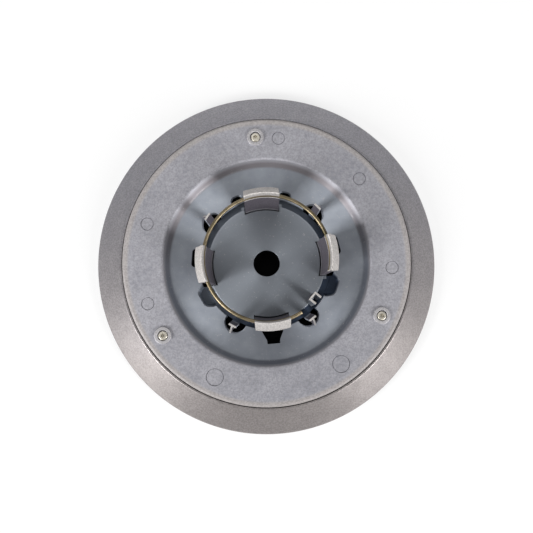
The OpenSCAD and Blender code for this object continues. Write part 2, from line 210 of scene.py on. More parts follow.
class Finishes(bpy.types.PropertyGroup):
    paint: colour("Paint", "Silver paint of the cover", "97959A")
    # Paint warm is painted light: the coat lighter and warmer towards the soft boxes at the foot.
    paint_lit_foot: colour("Paint warm", "Silver paint at the foot", "A79B90")
    paint_dark: colour("Paint shade", "Darker cloud in the silver paint", "8B8A90")
    # The inside is drawn nearly black, as painted shade for the cavity behind the windows.
    bare_and_shaded: colour("Bare inside", "Unpainted inside of the cover", "050506")
    plate: colour("Plate", "Grey of the moulded plate", "A9A8AE")
    plate_dark: colour("Plate shade", "Darker mottling of the plate", "94949B")
    bowl: colour("Bowl", "Grey of the smooth bowl and floor", "A0A5AD")
    bowl_dark: colour("Bowl shade", "Darker cloud in the bowl and floor", "9297A0")
    disc: colour("Disc", "Grey of the polished middle disc", "83888F")
    # Tips also gives the painted light on the tops of tabs and posts; Sides is painted shade on their upright
    # faces.
    tip: colour("Tips", "Pale grain of the tabs' tips", "C4C0BD")
    side: colour("Sides", "Upright sides of the tabs and posts", "6A656D")
    # Slope is a painted reflection of the dark beside the cap; Slope warm is painted light on the upper half
    # of the slope.
    slope: colour("Slope", "The bowl's slope", "7C818B")
    slope_lit_upper: colour("Slope warm", "The bowl's slope in its upper half", "8B878B")
    edge: colour("Edge", "Rim of the plate", "A19C9B")
    # Film and Channel are painted shade in the channel and the pockets; Film is its lighter part, towards the
    # upper left.
    recess_shade_pale: colour("Film", "Thin film of release oil, higher up in the channel", "6C737D")
    recess_shade: colour("Channel", "Channel and pockets", "3F4B5E")
    wire: colour("Wire", "Brass plating of the wire", "8E8169")
    wire_dark: colour("Wire shade", "Tarnish of the wire", "5E5742")
    zinc: colour("Zinc", "Zinc plating of the screws", "DAD4C6")


class StageSettings(bpy.types.PropertyGroup):
    floor: colour("Floor", "Colour of the floor", "F4F4F4")
    key_power: share("Key lamps", "Power of each of the two soft boxes in watts", 5.6, 200)
    far_power: share("Far lamp", "Power of the broad soft box beyond the cap in watts", 1.7, 200)
    fill: share("Fill", "Strength of the light from all round", 0.24, 4)


def in_mm(group):
    """The lengths of a property group, in millimetres."""
    return SimpleNamespace(**{key: getattr(group, key) / MM for key in group.__annotations__})


def cap_sizes(scene):
    """The sizes of the cover, plate, clips and screws in millimetres, with what follows from them."""
    cover, plate = in_mm(scene.cap_cover), in_mm(scene.cap_plate)
    clips, screw = in_mm(scene.cap_clips), in_mm(scene.cap_screws)
    plate.radius = plate.diameter / 2
    plate.under = plate.height - plate.thickness
    plate.lip_r = plate.bowl_diameter / 2
    plate.floor_r = plate.lip_r - plate.bowl_wall
    plate.floor_z = plate.height - plate.bowl_depth
    plate.disc_r = plate.disc_diameter / 2
    plate.disc_z = plate.floor_z - plate.floor_fall
    plate.channel_r = plate.disc_r + plate.channel_width
    plate.channel_z = plate.disc_z - plate.channel_depth
    plate.root_z = plate.channel_z - plate.web / 2
    plate.under_z = plate.channel_z - plate.web
    plate.boss_top = plate.height + plate.boss_height
    cover.radius = cover.diameter / 2
    cover.dish_r = cover.dish_diameter / 2
    cover.seat_r = cover.seat_diameter / 2
    cover.seam_r = plate.radius + cover.seam
    cover.inside_r = cover.seam_r - cover.ledge
    cover.ledge_z = plate.under
    clips.tip_z = plate.disc_z + clips.tab_height
    clips.wire_z = clips.tip_z - clips.wire_down
    clips.hook_z = clips.tip_z - clips.lead
    clips.ring_r = clips.ring_diameter / 2
    clips.hook_r = clips.hook_diameter / 2
    clips.foot_r = clips.foot_diameter / 2
    clips.foot_out = clips.foot_r + clips.tab_thickness
    clips.slot_in = clips.foot_r - clips.slot
    screw.circle_r = screw.circle / 2
    screw.thread_r = screw.thread / 2
    screw.head_r = screw.head / 2
    screw.head_z = plate.boss_top - screw.head_down - screw.head_height
    screw.end_z = screw.head_z - screw.shank
    return SimpleNamespace(cover=cover, plate=plate, clips=clips, screw=screw)


# Outlines


def evenly(first, last, steps):
    """Numbers from the first to the last, in even steps."""
    return [first + (last - first) * k / steps for k in range(steps + 1)]


def arc(x, y, radius, first, last, steps):
    """Points on an arc round (x, y), between two angles in degrees."""
    angles = [math.radians(a) for a in evenly(first, last, steps)]
    return [Vector((x + radius * math.cos(a), y + radius * math.sin(a))) for a in angles]


def rounded(corners, steps=6):
    """The points of a closed outline whose corners are (x, y, radius)."""
    points = []
    for i, (x, y, radius) in enumerate(corners):
        here = Vector((x, y))
        if radius == 0:
            points.append(here)
            continue
        before = (Vector(corners[i - 1][:2]) - here).normalized()
        after = (Vector(corners[(i + 1) % len(corners)][:2]) - here).normalized()
        half = before.angle(after) / 2
        middle = here + (before + after).normalized() * radius / math.sin(half)
        start = here + before * radius / math.tan(half) - middle
        turn = start.angle_signed(here + after * radius / math.tan(half) - middle)
        points += [middle + Matrix.Rotation(a, 2) @ start for a in evenly(0, -turn, steps)]
    return points


def mirrored(right):
    """The points of a closed, even outline from the (x, y, radius) corners of its right half."""
    return rounded(right + [(-x, y, radius) for x, y, radius in reversed(right)])


def oblong(inner, outer, low, high):
    """A section with four square corners, as (radius, height) points."""
    return [(inner, low), (outer, low), (outer, high), (inner, high)]


# Solids, each a bmesh in millimetres


def close_up(bm):
    """Merges doubles and turns every face outwards."""
    bmesh.ops.remove_doubles(bm, verts=bm.verts, dist=1e-4)
    bmesh.ops.dissolve_degenerate(bm, edges=bm.edges, dist=1e-5)
    bmesh.ops.recalc_face_normals(bm, faces=bm.faces)
    return bm


def lathe(outline, steps=288, sweep=360, closed=True):
    """Turns an outline of (radius, height) points round the axis; a part sweep is centred on +Y."""
    bm = bmesh.new()
    verts = [bm.verts.new((0, r, z)) for r, z in outline]
    pairs = list(zip(verts, verts[1:] + verts[:1])) if closed else list(zip(verts, verts[1:]))
    edges = [bm.edges.new(pair) for pair in pairs]
    full = sweep == 360
    if not full:
        start = Matrix.Rotation(-math.radians(sweep / 2), 3, "Z")
        bmesh.ops.rotate(bm, verts=verts, cent=(0, 0, 0), matrix=start)
    bmesh.ops.spin(bm, geom=verts + edges, cent=(0, 0, 0), axis=(0, 0, 1), angle=math.radians(sweep),
                   steps=steps, use_merge=full, use_duplicate=False)
    if not full:
        bmesh.ops.holes_fill(bm, edges=[e for e in bm.edges if e.is_boundary], sides=0)
    return close_up(bm)


def drum(radius, low, high, steps):
    """An upright cylinder on the axis."""
    return lathe(oblong(0, radius, low, high), steps=steps, closed=False)


def loft(outline, levels, about=(0, 0)):
    """A solid over an outline of (x, y) points, through levels of (height, growth about a point)."""
    bm = bmesh.new()
    middle = Vector((*about, 0))
    low, first = levels[0]
    corners = [middle + (Vector((x, y, 0)) - middle) * first + Vector((0, 0, low)) for x, y in outline]
    faces = [bm.faces.new([bm.verts.new(corner) for corner in corners])]
    for (below, was), (above, growth) in zip(levels, levels[1:]):
        grown = bmesh.ops.extrude_face_region(bm, geom=faces[-1:])["geom"]
        verts = [part for part in grown if isinstance(part, bmesh.types.BMVert)]
        faces += [part for part in grown if isinstance(part, bmesh.types.BMFace)]
        bmesh.ops.translate(bm, verts=verts, vec=(0, 0, above - below))
        more = growth / was
        bmesh.ops.scale(bm, verts=verts, vec=(more, more, 1), space=Matrix.Translation(-middle))
    bmesh.ops.delete(bm, geom=faces[1:-1], context="FACES_ONLY")
    return close_up(bm)


def prism(outline, low, high):
    """A straight solid over an outline of (x, y) points."""
    return loft(outline, ((low, 1), (high, 1)))


def upright(outline, thickness):
    """A plate that stands in the plane of the axis, from an outline of (radius, height) points."""
    bm = prism(outline, -thickness / 2, thickness / 2)
    stand = Matrix(((0, 0, 1), (1, 0, 0), (0, 1, 0)))
    bmesh.ops.transform(bm, verts=bm.verts, matrix=stand.to_4x4())
    return close_up(bm)


def block(width, near, far, low, high):
    """A block across +Y, between two distances and two heights."""
    bm = bmesh.new()
    bmesh.ops.create_cube(bm, size=1)
    bmesh.ops.scale(bm, verts=bm.verts, vec=(width, far - near, high - low))
    bmesh.ops.translate(bm, verts=bm.verts, vec=(0, (near + far) / 2, (low + high) / 2))
    return bm


def turned(bm, degrees, radius=0.0):
    """Moves a solid out along +Y, then turns it clockwise to its angle."""
    turn = Matrix.Rotation(-math.radians(degrees), 3, "Z")
    bmesh.ops.translate(bm, verts=bm.verts, vec=(0, radius, 0))
    bmesh.ops.rotate(bm, verts=bm.verts, cent=(0, 0, 0), matrix=turn)
    return bm


def repeated(bm, degrees, radius=0.0):
    """Copies of a solid at several angles round the axis."""
    copies = [turned(bm.copy(), angle, radius) for angle in degrees]
    bm.free()
    return copies


def trimmed(bm, half_width):
    """Cuts a solid to a strip of even width along +Y, and closes the cut faces."""
    for side in (1, -1):
        whole = bm.verts[:] + bm.edges[:] + bm.faces[:]
        cut = bmesh.ops.bisect_plane(bm, geom=whole, dist=1e-5, plane_co=(side * half_width, 0, 0),
                                     plane_no=(side, 0, 0), clear_outer=True)
        rim = [e for e in cut["geom_cut"] if isinstance(e, bmesh.types.BMEdge)]
        bmesh.ops.holes_fill(bm, edges=rim, sides=0)
    return close_up(bm)


def softened(bm, width, above, where=None):
    """Rounds the edges sharper than an angle in degrees; where picks among them by the edge's middle."""
    edges = []
    for edge in bm.edges:
        if len(edge.link_faces) != 2 or edge.calc_face_angle() < math.radians(above):
            continue
        if where is None or where((edge.verts[0].co + edge.verts[1].co) / 2):
            edges.append(edge)
    bmesh.ops.bevel(bm, geom=edges, offset=width, offset_type="OFFSET", segments=2, profile=0.5,
                    affect="EDGES", clamp_overlap=True, material=-1)
    return close_up(bm)


def together(solids):
    """One mesh from several solids that don't touch."""
    whole = bmesh.new()
    for solid in solids:
        part = bpy.data.meshes.new("part")
        solid.to_mesh(part)
        solid.free()
        whole.from_mesh(part)
        bpy.data.meshes.remove(part)
    return whole


def combined(base, tool, operation):
    """The union or difference of two solids."""
    holders = []
    for bm in (base, tool):
        mesh = bpy.data.meshes.new("holder")
        bm.to_mesh(mesh)
        bm.free()
        holder = bpy.data.objects.new("holder", mesh)
        bpy.context.scene.collection.objects.link(holder)
        holders.append(holder)
    cut = holders[0].modifiers.new("cut", "BOOLEAN")
    cut.object, cut.operation, cut.solver = holders[1], operation, "EXACT"
    seen = holders[0].evaluated_get(bpy.context.evaluated_depsgraph_get())
    mesh = bpy.data.meshes.new_from_object(seen)
    result = bmesh.new()
    result.from_mesh(mesh)
    bpy.data.meshes.remove(mesh)
    for holder in holders:
        data = holder.data
        bpy.data.objects.remove(holder)
        bpy.data.meshes.remove(data)
    if not result.faces:
        raise RuntimeError("A cut left nothing of a solid")
    bmesh.ops.remove_doubles(result, verts=result.verts, dist=1e-4)
    return result


def finished(name, bm, materials, sharp=32, pick=None):
    """Makes the object of a piece from a solid in millimetres, shaded smooth up to an angle in degrees."""
    for face in bm.faces:
        face.smooth = True
        if pick:
            middle = face.calc_center_median()
            face.material_index = int(pick(face, math.hypot(middle.x, middle.y), middle.z))
    for edge in bm.edges:
        edge.smooth = len(edge.link_faces) == 2 and edge.calc_face_angle(0) < math.radians(sharp)
    bmesh.ops.scale(bm, verts=bm.verts, vec=(MM, MM, MM))
    mesh = bpy.data.meshes.new(name)
    bm.to_mesh(mesh)
    bm.free()
    for material in materials:
        mesh.materials.append(material)
    piece = bpy.data.objects.new(name, mesh)
    bpy.context.scene.collection.objects.link(piece)
    weighted = piece.modifiers.new("even shading", "WEIGHTED_NORMAL")
    weighted.keep_sharp = True
    weighted.weight = 90
    return piece


# Materials


def add(tree, kind, inputs=(), out=0, **settings):
    """Adds a node and gives one of its outputs.

    The inputs are values, or outputs to link: in the node's own order, or in a dict by name or number."""
    node = tree.nodes.new("ShaderNode" + kind)
    for key, value in settings.items():
        setattr(node, key, value)
    named = inputs if isinstance(inputs, dict) else dict(enumerate(inputs))
    for key, value in named.items():
        if isinstance(value, bpy.types.NodeSocket):
            tree.links.new(value, node.inputs[key])
        else:
            node.inputs[key].default_value = value
    return node.outputs[out] if node.outputs else None


def new_material(name):
    """An empty node material, with its tree."""
    material = bpy.data.materials.new(name)
    material.use_nodes = True
    material.node_tree.nodes.clear()
    return material, material.node_tree


def place_in_mm(tree):
    """Object coordinates, in millimetres from the middle of the front face."""
    metres = add(tree, "TexCoord", out="Object")
    return add(tree, "VectorMath", {0: metres, "Scale": 1 / MM}, operation="SCALE")


def parts_of(tree, place):
    """A place's x, y and height, the place without its height, and its radius round the axis."""
    x, y, height = add(tree, "SeparateXYZ", (place,)).node.outputs
    flat = add(tree, "CombineXYZ", (x, y))
    radius = add(tree, "VectorMath", (flat,), out="Value", operation="LENGTH")
    return SimpleNamespace(x=x, y=y, height=height, flat=flat, radius=radius)


def facing_up(tree):
    """1 on faces that look up, 0 on faces that stand upright."""
    up = add(tree, "SeparateXYZ", (add(tree, "TexCoord", out="Normal"),), out="Z")
    return add(tree, "MapRange", (up, 0.14, 0.26))


def clouds(tree, place, size, low, high, to_low=0, to_high=1, detail=3, rough=0.55):
    """Patches about this many millimetres across, stretched between two limits onto another range."""
    patches = add(tree, "TexNoise", {
        "Vector": place, "Scale": 1 / size, "Detail": detail, "Roughness": rough})
    return add(tree, "MapRange", (patches, low, high, to_low, to_high))


def coats(tree, tint, *layers):
    """A colour with others over it, each laid on as (how much, colour)."""
    for amount, over in layers:
        tint = add(tree, "Mix", {0: amount, 6: tint, 7: over}, out=2, data_type="RGBA")
    return tint


def grained(tree, place, tint, relief, drift=None):
    """A colour with a sparkle of grains 0.8 mm across, and their normal; drift shades the sparkle."""
    grain = add(tree, "TexNoise", {"Vector": place, "Scale": 1 / 0.8, "Detail": 3, "Roughness": 0.7})
    sparkle = add(tree, "MapRange", (grain, 0.38, 0.62, 0.83, 1.17))
    if drift:
        sparkle = add(tree, "Math", (sparkle, drift), operation="MULTIPLY")
    tint = add(tree, "VectorMath", {0: tint, "Scale": sparkle}, operation="SCALE")
    return tint, add(tree, "Bump", {"Height": grain, "Strength": relief, "Distance": 0.03 * MM})


def silver_paint(finishes):
    """Silver paint on moulded ABS: a satin coat full of metal flakes, slightly clouded, with painted light
    towards its foot.
    """
    material, tree = new_material("silver_painted_abs")
    place = place_in_mm(tree)
    cloudy = clouds(tree, place, 6, 0.2, 0.8)
    # Painted light: the coat gets lighter and warmer from the top towards the foot, where the soft boxes
    # stand, over about 90 mm.
    lit_foot = add(tree, "MapRange", (add(tree, "SeparateXYZ", (place,), out="Y"), 45, -45, 0, 0.4))
    tint = coats(tree, finishes.paint, (cloudy, finishes.paint_dark), (lit_foot, finishes.paint_lit_foot))
    # Real flakes are about 0.03 mm; they are drawn 0.8 mm, so that the sparkle shows.
    tint, relief = grained(tree, place, tint, 0.12)
    rough = clouds(tree, place, 4, 0.3, 0.7, 0.36, 0.43)
    shader = add(tree, "BsdfPrincipled", {
        "Base Color": tint, "Metallic": 0.8, "Roughness": rough, "Normal": relief})
    add(tree, "OutputMaterial", (shader,))
    return material


def inside_painted_shade(finishes):
    """Unpainted ABS inside the cover, drawn nearly black as painted shade for the cavity seen through the
    windows: even and dull.
    """
    material, tree = new_material("black_abs_painted_shade")
    shader = add(tree, "BsdfPrincipled", {
        "Base Color": finishes.bare_and_shaded, "Roughness": 0.9, "IOR": 1.53, "Specular IOR Level": 0.15})
    add(tree, "OutputMaterial", (shader,))
    return material


def moulded_plate(finishes, plate, clips):
    """Grey metallic-filled ABS from a spark-eroded mould: a mottled ring, frosted tips on the tabs, painted
    shade on the upright sides of tabs and posts and painted light on their tops.
    """
    material, tree = new_material("moulded_grey_abs")
    place = place_in_mm(tree)
    at = parts_of(tree, place)
    # The tips are frosted above the wire's groove, and further down on their outer side.
    above = add(tree, "MapRange", (at.height, clips.tip_z - 3.5, clips.tip_z - 3.2))
    high = add(tree, "MapRange", (at.height, clips.tip_z - 8.9, clips.tip_z - 7.9))
    outside = add(tree, "MapRange", (at.radius, clips.ring_r + 1, clips.ring_r + 1.3))
    lead_in = add(tree, "Math", (outside, high), operation="MULTIPLY")
    on_tip = add(tree, "Math", (lead_in, above), operation="MAXIMUM")
    # Tabs and posts stand up from the floor inside the bowl's slope.
    inner = add(tree, "MapRange", (at.radius, plate.floor_r - 1.1, plate.floor_r - 2.1))
    off_floor = add(tree, "MapRange", (at.height, plate.disc_z + 0.6, plate.disc_z + 1))
    low_part = add(tree, "Math", (inner, off_floor), operation="MULTIPLY")
    clear = add(tree, "MapRange", (at.height, plate.height + 1.5, plate.height + 1.8))
    raised = add(tree, "Math", (low_part, clear), operation="MAXIMUM")
    # The screw bosses rise a little above the ring.
    outer = add(tree, "MapRange", (at.radius, plate.lip_r + 1.7, plate.lip_r + 2.7))
    proud = add(tree, "MapRange", (at.height, plate.height + 0.4, plate.height + 0.8, 0, 0.4))
    on_boss = add(tree, "Math", (outer, proud), operation="MULTIPLY")
    edge = add(tree, "MapRange", (at.radius, plate.radius - 3.4, plate.radius - 2.2))
    # Flow patches about 1.6 mm across over broader clouds.
    patches = clouds(tree, place, 1.6, 0.34, 0.66, detail=4)
    mottle = add(tree, "Math", (patches, clouds(tree, place, 11, 0.35, 0.65)), operation="MULTIPLY")
    # Painted shade: the upright sides of tabs and posts are darker, and the faces that look up take the pale
    # of the tips as painted light.
    tip_or_lit_top = add(tree, "Math", (on_tip, facing_up(tree)), operation="MAXIMUM")
    shaded_sides_lit_tops = coats(tree, finishes.side, (tip_or_lit_top, finishes.tip))
    # The rim is a warmer, darker grey.
    tint = coats(tree, finishes.plate, (mottle, finishes.plate_dark), (raised, shaded_sides_lit_tops),
                 (on_boss, finishes.tip), (edge, finishes.edge))
    # The ring is a little greyer towards its foot. The eroded grain is about 0.05 mm, drawn 0.8 mm to show.
    drift = add(tree, "MapRange", (at.y, 0, -60, 1, 0.86))
    tint, relief = grained(tree, place, tint, 0.16, drift)
    dull = add(tree, "Math", (on_tip, edge), operation="MAXIMUM")
    rough = add(tree, "MapRange", (dull, 0, 1, 0.56, 0.62))
    metal = add(tree, "MapRange", (edge, 0, 1, 0.65, 0.25))
    shader = add(tree, "BsdfPrincipled", {
        "Base Color": tint, "Metallic": metal, "Roughness": rough, "Normal": relief})
    add(tree, "OutputMaterial", (shader,))
    return material


def turned_plate(finishes, plate):
    """The same ABS in the bowl, channel and disc, whose mould was turned: fine rings and satin streaks, with
    painted shade on the slope and in the channel, and painted light across the floor and disc.
    """
    material, tree = new_material("turned_grey_abs")
    place = place_in_mm(tree)
    at = parts_of(tree, place)
    # The bowl's slope is painted darker, a painted reflection of the dark beside the cap, and lighter and
    # warmer in its upper half as painted light; it goes over into the grain of the ring.
    cloudy = clouds(tree, place, 7, 0.3, 0.7)
    slope = coats(tree, finishes.slope, (add(tree, "MapRange", (at.y, -5, 25)), finishes.slope_lit_upper))
    slope_shade_mask = add(tree, "MapRange", (at.radius, plate.floor_r - 0.7, plate.floor_r + 0.3))
    on_lip = add(tree, "MapRange", (at.radius, plate.lip_r - 1.7, plate.lip_r - 0.7))
    # The disc inside the channel was polished more than the floor outside it.
    on_disc = add(tree, "MapRange", (at.radius, plate.disc_r + 0.6, plate.disc_r - 0.9))
    tint = coats(tree, finishes.bowl, (cloudy, finishes.bowl_dark), (slope_shade_mask, slope),
                 (on_lip, finishes.plate), (on_disc, finishes.disc))
    streaks = add(tree, "MapRange", (on_disc, 0, 1, 0.8, 0.6))
    # Painted light: the floor is lighter at its top and darker at its foot, over about 80 mm, and the disc
    # darker towards its lower right.
    floor_painted_light = add(tree, "MapRange", (at.y, 40, -40, 1.1, 0.82))
    aside = add(tree, "Math", (at.y, at.x), operation="SUBTRACT")
    disc_painted_light = add(tree, "MapRange", (aside, -16, -26, 1, 0.75))
    drift = add(tree, "MapRange", (on_disc, 0, 1, floor_painted_light, disc_painted_light))
    tint = add(tree, "VectorMath", {0: tint, "Scale": drift}, operation="SCALE")
    # Pale scuffs about 1 mm across; then painted shade in the channel and the pockets, darkest towards the
    # lower right.
    scuffs = clouds(tree, place, 1.1, 0.63, 0.70, 0, 0.45, rough=0.7)
    recess_shade_tint = coats(tree, finishes.recess_shade, (add(tree, "MapRange", (aside, -20, 16)), finishes.recess_shade_pale))
    recess_shade = add(tree, "MapRange", (at.height, plate.disc_z - 0.5, plate.disc_z - 2.2))
    tint = coats(tree, tint, (scuffs, finishes.tip), (recess_shade, recess_shade_tint))
    # The turned mould leaves fine rings 0.5 mm apart.
    rings = add(tree, "TexWave", {"Vector": at.flat, "Scale": 0.314 / 0.5, "Distortion": 0}, out="Fac",
                wave_type="RINGS", rings_direction="Z")
    relief = add(tree, "Bump", {"Height": rings, "Strength": 0.06, "Distance": 0.01 * MM})
    around = add(tree, "VectorMath", ((0, 0, 1), at.flat), operation="CROSS_PRODUCT")
    shader = add(tree, "BsdfPrincipled", {
        "Base Color": tint, "Metallic": 0.75, "Roughness": 0.6, "Anisotropic": streaks,
        "Anisotropic Rotation": 0.25, "Coat Weight": 0.3, "Coat Roughness": 0.1, "Normal": relief,
        "Tangent": around})
    add(tree, "OutputMaterial", (shader,))
    return material


def brass_wire(finishes):
    """Brass-plated spring wire: drawn smooth, bright where it was rubbed and brown where it tarnished."""
    material, tree = new_material("brass_plated_wire")
    tarnish = clouds(tree, place_in_mm(tree), 8, 0.4, 0.7, detail=2)
    tint = coats(tree, finishes.wire, (tarnish, finishes.wire_dark))
    rough = add(tree, "MapRange", (tarnish, 0, 1, 0.4, 0.5))
    shader = add(tree, "BsdfPrincipled", {"Base Color": tint, "Metallic": 1, "Roughness": rough})
    add(tree, "OutputMaterial", (shader,))
    return material


def zinc_steel(finishes):
    """Bright zinc plating on a steel screw: clear grey metal with faint spangle."""
    material, tree = new_material("zinc_plated_steel")
    rough = clouds(tree, place_in_mm(tree), 0.7, 0.3, 0.7, 0.32, 0.5)
    shader = add(tree, "BsdfPrincipled", {"Base Color": finishes.zinc, "Metallic": 0.85, "Roughness": rough})
    add(tree, "OutputMaterial", (shader,))
    return material


# Front cover


def cover_outline(cover):
    """The cover's section: front wall with its dish and seat, rounded edge, sloping side and ledge."""
    shoulder_r, top_r = cover.radius - cover.edge_round, cover.seam_r + cover.land
    run = Vector((top_r - shoulder_r, cover.height - cover.edge_height))
    lean = math.atan2(run.y, run.x) - math.acos(cover.edge_round / run.length)
    ledge_depth, bevel, lip_round, seam_round = 1.8, 1.6, 0.5, 0.15
    ledge_under, corner_z = cover.ledge_z - ledge_depth, cover.face + bevel

    def side_r(z):
        """The radius of the side wall's inner face at a height."""
        inwards = (cover.side - cover.edge_round) / math.cos(lean)
        return shoulder_r - inwards - (z - cover.edge_height) * math.tan(lean)

    def dish(r):
        """The height of the front face at a radius."""
        if r >= cover.dish_r:
            return 0.0
        span = (r - cover.seat_r) / (cover.dish_r - cover.seat_r)
        return cover.dish_depth * (1 + math.cos(math.pi * max(0.0, span))) / 2

    seat_z = cover.dish_depth + cover.seat_depth
    seat_out = cover.seat_r + cover.seat_depth * 0.75
    points = [(0, seat_z), (cover.seat_r, seat_z)]
    points += [(r, dish(r)) for r in evenly(seat_out, cover.dish_r, 16)]
    points += arc(cover.radius - cover.edge_height, cover.edge_height, cover.edge_height, -90, 0, 14)
    tilt = math.degrees(lean)
    points += arc(shoulder_r, cover.edge_height, cover.edge_round, tilt / 8, tilt, 7)
    points += rounded([
        (cover.radius, cover.edge_height, 0), (top_r, cover.height, lip_round),
        (cover.seam_r, cover.height, seam_round), (cover.seam_r, cover.ledge_z, 0)], steps=4)[1:]
    points += [(cover.inside_r, cover.ledge_z), (cover.inside_r, ledge_under),
               (side_r(ledge_under), ledge_under), (side_r(corner_z), corner_z),
               (side_r(corner_z) - bevel, cover.face)]
    points += [(r, dish(r) + cover.face) for r in evenly(cover.dish_r, cover.seat_r, 16)]
    points.append((0, cover.dish_depth + cover.face))
    return points


def build_cover(scene):
    """The front cover with its ribs and screw bosses."""
    sizes = cap_sizes(scene)
    cover, screw = sizes.cover, sizes.screw
    body = lathe(cover_outline(cover), steps=320, closed=False)
    root_z, rib_top = cover.face / 2, cover.face + cover.rib_height
    # The hoop that the ribs run into stands 6 mm outside the seat.
    hoop_r = cover.seat_r + 6
    rib = block(cover.rib, hoop_r + cover.rib / 2, cover.inside_r, root_z, rib_top)
    for one in repeated(rib, RIB_ANGLES):
        body = combined(body, one, "UNION")
    hoop = lathe(oblong(hoop_r, hoop_r + cover.rib, root_z, rib_top), steps=160)
    body = combined(body, hoop, "UNION")
    boss = drum(cover.boss_diameter / 2, root_z, cover.ledge_z, 48)
    body = combined(body, together(repeated(boss, SCREW_ANGLES, screw.circle_r)), "UNION")
    # The pilot holes are a little wider and deeper than the screws.
    wider, deeper = 0.05, 0.8
    pilot = drum(screw.thread_r + wider, screw.end_z - deeper, cover.ledge_z + OVER, 32)
    body = combined(body, together(repeated(pilot, SCREW_ANGLES, screw.circle_r)), "DIFFERENCE")

    def bare_and_shaded(face, r, z):
        """Whether a face lies inside the cover, where there is no paint and the near-black painted shade
        goes.
        """
        # Inside is what lies under the sloping side and short of the wide edge, above the front wall.
        fall = (cover.radius - cover.inside_r - 3) / (cover.height - cover.edge_height)
        under_side = cover.radius - (z - cover.edge_height) * fall - 1.6
        reach = min(under_side, cover.inside_r + 14)
        lowest, highest = 2.2, cover.height - 0.4
        return r < reach and lowest < z < highest and face.normal.z > -0.9

    finishes = scene.cap_finishes
    return finished("cover_shell", body, [silver_paint(finishes), inside_painted_shade(finishes)], pick=bare_and_shaded)


# Back plate


def plate_outline(plate):
    """The plate's section: outer ring, bowl, floor, channel and middle disc."""
    fillet, foot_fillet, under_round, hole_round, inner_fillet = 0.4, 1.6, 0.3, 0.25, 1
    slope = plate.bowl_wall / plate.bowl_depth
    wall_r = plate.floor_r + plate.web * 0.7
    hole_r, hole_z = plate.hole_diameter / 2, plate.disc_z + plate.disc_rise
    under_floor, under_disc = plate.floor_z - plate.web, plate.disc_z - plate.web
    inner_r, outer_r = plate.disc_r - plate.web, plate.channel_r + plate.web
    return rounded([
        (plate.radius, plate.under, under_round), (plate.radius, plate.height, plate.edge_round),
        (plate.lip_r, plate.height, plate.lip_round), (plate.floor_r, plate.floor_z, foot_fillet),
        (plate.channel_r, plate.disc_z, fillet), (plate.channel_r, plate.channel_z, fillet),
        (plate.disc_r, plate.channel_z, fillet), (plate.disc_r, plate.disc_z, fillet),
        (hole_r, hole_z, hole_round), (hole_r, hole_z - plate.web, 0),
        (inner_r, under_disc, fillet), (inner_r, plate.under_z, fillet),
        (outer_r, plate.under_z, fillet), (outer_r, under_disc, fillet),
        (wall_r, under_floor, inner_fillet),
        (wall_r + slope * (plate.under - under_floor), plate.under, inner_fillet)], steps=5)


def pocket_outline(plate, grow, inner):
    """The outline of a pocket beside the channel, grown for the walls round it."""
    wide, side_r = plate.pocket / 2 + grow, plate.channel_r + 0.6
    end, end_r = plate.pocket_end / 2 + grow * 0.7, plate.pocket_diameter / 2 + grow
    end_round = 3.4
    return mirrored([(end, end_r, end_round), (wide, side_r, 0), (wide, inner, 0)])


def tab_pads(plate, clips):
    """Thicker floor under the clip tabs' feet."""
    pad = block(clips.tab_width + 2 * plate.web, clips.slot_in - plate.web, plate.disc_r - 5 * NUDGE,
                plate.under_z + 2 * NUDGE, plate.disc_z - plate.web / 2)
    return repeated(pad, TAB_ANGLES)


def screw_bosses(plate, screw):
    """The raised bosses round the screws, with a fillet at the foot and a rounded edge."""
    top_r, foot_z, edge_round = plate.boss_diameter / 2 - 0.05, plate.under + 0.5, 0.25
    foot_r, fillet_r, fillet_z = top_r + 0.4, top_r + 0.15, plate.height + 0.12
    boss = rounded([(0, foot_z, 0), (foot_r, foot_z, 0), (foot_r, plate.height, 0), (fillet_r, fillet_z, 0),
                    (top_r, plate.boss_top, edge_round), (0, plate.boss_top, 0)], steps=4)
    return repeated(lathe(boss, steps=72, closed=False), SCREW_ANGLES, screw.circle_r)


def pocket_shells(plate):
    """The walls and floors of the pockets."""
    outline = pocket_outline(plate, plate.web, plate.channel_r + 0.4)
    return repeated(prism(outline, plate.under_z + NUDGE, plate.disc_z - plate.web / 2), POCKET_ANGLES)


def tab_rooms(plate, clips):
    """Cutters of the slot before each tab and of the opening behind it."""
    aside, behind = 0.4, 0.6
    half = clips.tab_width / 2 + aside
    slot = oblong(clips.slot_in, plate.disc_r + OVER, plate.channel_z, clips.tip_z)
    opening = oblong(clips.foot_out + behind, clips.hook_r, 0, clips.tip_z)
    rooms = []
    for section in (slot, opening):
        rooms += repeated(trimmed(lathe(section, steps=30, sweep=60), half), TAB_ANGLES)
    return rooms


def pockets(plate):
    """Cutters of the pockets, which widen towards the floor in a soft edge."""
    levels = ((plate.channel_z + 0.25, 0.74), (plate.channel_z + 1.2, 0.84), (plate.disc_z - 0.8, 0.95),
              (plate.disc_z - 0.2, 1), (plate.disc_z + 0.05, 1.04), (plate.disc_z + 0.9, 1.2))
    outline = pocket_outline(plate, 0, plate.channel_r - 1.2)
    return repeated(loft(outline, levels, (0, plate.channel_r + 1.7)), POCKET_ANGLES)


def ejector_marks(plate):
    """Cutters of the ejector marks: a shallow disc with a fine groove round it."""
    top, floor, bottom = plate.height + 0.1, plate.height - plate.mark_depth, plate.height - plate.mark_rim
    groove, slant = 0.25, 0.05
    marks = []
    for angles, size in ((MARK_ANGLES, plate.mark), (BIG_MARK_ANGLES, plate.big_mark)):
        rim = size / 2
        disc = [(0, floor), (rim - groove - slant, floor), (rim - groove, bottom), (rim, bottom),
                (rim + slant, top), (0, top)]
        marks += repeated(lathe(disc, steps=64, closed=False), angles, plate.mark_circle / 2)
    return marks


